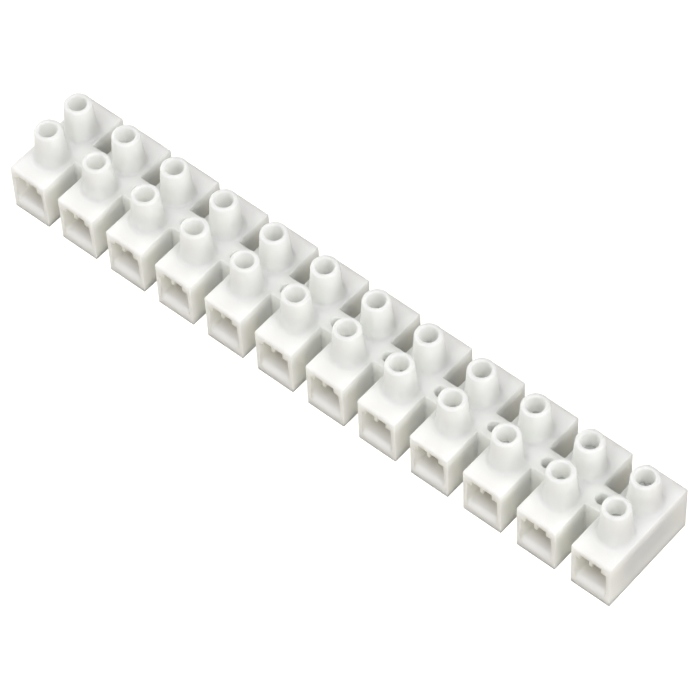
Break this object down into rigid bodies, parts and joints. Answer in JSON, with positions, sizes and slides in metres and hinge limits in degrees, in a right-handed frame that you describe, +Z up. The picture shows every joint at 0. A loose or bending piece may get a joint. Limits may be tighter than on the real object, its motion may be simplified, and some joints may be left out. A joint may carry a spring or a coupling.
{
  "type": "terminal strip",
  "caption": "Strip of joined screw terminals: a white moulded housing with wire mouths front and back, brass clamp tubes, slotted screws in tapered chimneys and fixing holes.",
  "frame": {"origin": "centre of the flat base, on the surface that the strip lies on", "axes": "+X along the row of ways, +Y along the wires from the front mouths to the back ones, +Z up along the screws"},
  "size_m": [0.1172, 0.0182, 0.0158],
  "materials": {
    "housing": "moulded white polypropylene, satin",
    "clamp_tube": "drawn and drilled brass",
    "clamp_screw": "zinc plated steel"
  },
  "bodies": {
    "strip": {"housing": "housing", "clamp_tube_01": "clamp_tube", "clamp_tube_02": "clamp_tube", "clamp_tube_03": "clamp_tube", "clamp_tube_04": "clamp_tube", "clamp_tube_05": "clamp_tube", "clamp_tube_06": "clamp_tube", "clamp_tube_07": "clamp_tube", "clamp_tube_08": "clamp_tube", "clamp_tube_09": "clamp_tube", "clamp_tube_10": "clamp_tube", "clamp_tube_11": "clamp_tube", "clamp_tube_12": "clamp_tube"},
    "screw_front_01": {"screw_front_01": "clamp_screw"},
    "screw_front_02": {"screw_front_02": "clamp_screw"},
    "screw_front_03": {"screw_front_03": "clamp_screw"},
    "screw_front_04": {"screw_front_04": "clamp_screw"},
    "screw_front_05": {"screw_front_05": "clamp_screw"},
    "screw_front_06": {"screw_front_06": "clamp_screw"},
    "screw_front_07": {"screw_front_07": "clamp_screw"},
    "screw_front_08": {"screw_front_08": "clamp_screw"},
    "screw_front_09": {"screw_front_09": "clamp_screw"},
    "screw_front_10": {"screw_front_10": "clamp_screw"},
    "screw_front_11": {"screw_front_11": "clamp_screw"},
    "screw_front_12": {"screw_front_12": "clamp_screw"},
    "screw_back_01": {"screw_back_01": "clamp_screw"},
    "screw_back_02": {"screw_back_02": "clamp_screw"},
    "screw_back_03": {"screw_back_03": "clamp_screw"},
    "screw_back_04": {"screw_back_04": "clamp_screw"},
    "screw_back_05": {"screw_back_05": "clamp_screw"},
    "screw_back_06": {"screw_back_06": "clamp_screw"},
    "screw_back_07": {"screw_back_07": "clamp_screw"},
    "screw_back_08": {"screw_back_08": "clamp_screw"},
    "screw_back_09": {"screw_back_09": "clamp_screw"},
    "screw_back_10": {"screw_back_10": "clamp_screw"},
    "screw_back_11": {"screw_back_11": "clamp_screw"},
    "screw_back_12": {"screw_back_12": "clamp_screw"}
  },
  "joints": [
    {"name": "screw_front_01_travel", "type": "slide", "parent": "strip", "child": "screw_front_01", "axis": [0, 0, 1], "range_m": [-0.0031, 0.0004]},
    {"name": "screw_front_02_travel", "type": "slide", "parent": "strip", "child": "screw_front_02", "axis": [0, 0, 1], "range_m": [-0.0031, 0.0004]},
    {"name": "screw_front_03_travel", "type": "slide", "parent": "strip", "child": "screw_front_03", "axis": [0, 0, 1], "range_m": [-0.0031, 0.0004]},
    {"name": "screw_front_04_travel", "type": "slide", "parent": "strip", "child": "screw_front_04", "axis": [0, 0, 1], "range_m": [-0.0031, 0.0004]},
    {"name": "screw_front_05_travel", "type": "slide", "parent": "strip", "child": "screw_front_05", "axis": [0, 0, 1], "range_m": [-0.0031, 0.0004]},
    {"name": "screw_front_06_travel", "type": "slide", "parent": "strip", "child": "screw_front_06", "axis": [0, 0, 1], "range_m": [-0.0031, 0.0004]},
    {"name": "screw_front_07_travel", "type": "slide", "parent": "strip", "child": "screw_front_07", "axis": [0, 0, 1], "range_m": [-0.0031, 0.0004]},
    {"name": "screw_front_08_travel", "type": "slide", "parent": "strip", "child": "screw_front_08", "axis": [0, 0, 1], "range_m": [-0.0031, 0.0004]},
    {"name": "screw_front_09_travel", "type": "slide", "parent": "strip", "child": "screw_front_09", "axis": [0, 0, 1], "range_m": [-0.0031, 0.0004]},
    {"name": "screw_front_10_travel", "type": "slide", "parent": "strip", "child": "screw_front_10", "axis": [0, 0, 1], "range_m": [-0.0031, 0.0004]},
    {"name": "screw_front_11_travel", "type": "slide", "parent": "strip", "child": "screw_front_11", "axis": [0, 0, 1], "range_m": [-0.0031, 0.0004]},
    {"name": "screw_front_12_travel", "type": "slide", "parent": "strip", "child": "screw_front_12", "axis": [0, 0, 1], "range_m": [-0.0031, 0.0004]},
    {"name": "screw_back_01_travel", "type": "slide", "parent": "strip", "child": "screw_back_01", "axis": [0, 0, 1], "range_m": [-0.0031, 0.0004]},
    {"name": "screw_back_02_travel", "type": "slide", "parent": "strip", "child": "screw_back_02", "axis": [0, 0, 1], "range_m": [-0.0031, 0.0004]},
    {"name": "screw_back_03_travel", "type": "slide", "parent": "strip", "child": "screw_back_03", "axis": [0, 0, 1], "range_m": [-0.0031, 0.0004]},
    {"name": "screw_back_04_travel", "type": "slide", "parent": "strip", "child": "screw_back_04", "axis": [0, 0, 1], "range_m": [-0.0031, 0.0004]},
    {"name": "screw_back_05_travel", "type": "slide", "parent": "strip", "child": "screw_back_05", "axis": [0, 0, 1], "range_m": [-0.0031, 0.0004]},
    {"name": "screw_back_06_travel", "type": "slide", "parent": "strip", "child": "screw_back_06", "axis": [0, 0, 1], "range_m": [-0.0031, 0.0004]},
    {"name": "screw_back_07_travel", "type": "slide", "parent": "strip", "child": "screw_back_07", "axis": [0, 0, 1], "range_m": [-0.0031, 0.0004]},
    {"name": "screw_back_08_travel", "type": "slide", "parent": "strip", "child": "screw_back_08", "axis": [0, 0, 1], "range_m": [-0.0031, 0.0004]},
    {"name": "screw_back_09_travel", "type": "slide", "parent": "strip", "child": "screw_back_09", "axis": [0, 0, 1], "range_m": [-0.0031, 0.0004]},
    {"name": "screw_back_10_travel", "type": "slide", "parent": "strip", "child": "screw_back_10", "axis": [0, 0, 1], "range_m": [-0.0031, 0.0004]},
    {"name": "screw_back_11_travel", "type": "slide", "parent": "strip", "child": "screw_back_11", "axis": [0, 0, 1], "range_m": [-0.0036, 0.0001]},
    {"name": "screw_back_12_travel", "type": "slide", "parent": "strip", "child": "screw_back_12", "axis": [0, 0, 1], "range_m": [-0.0036, 0.0001]}
  ]
}
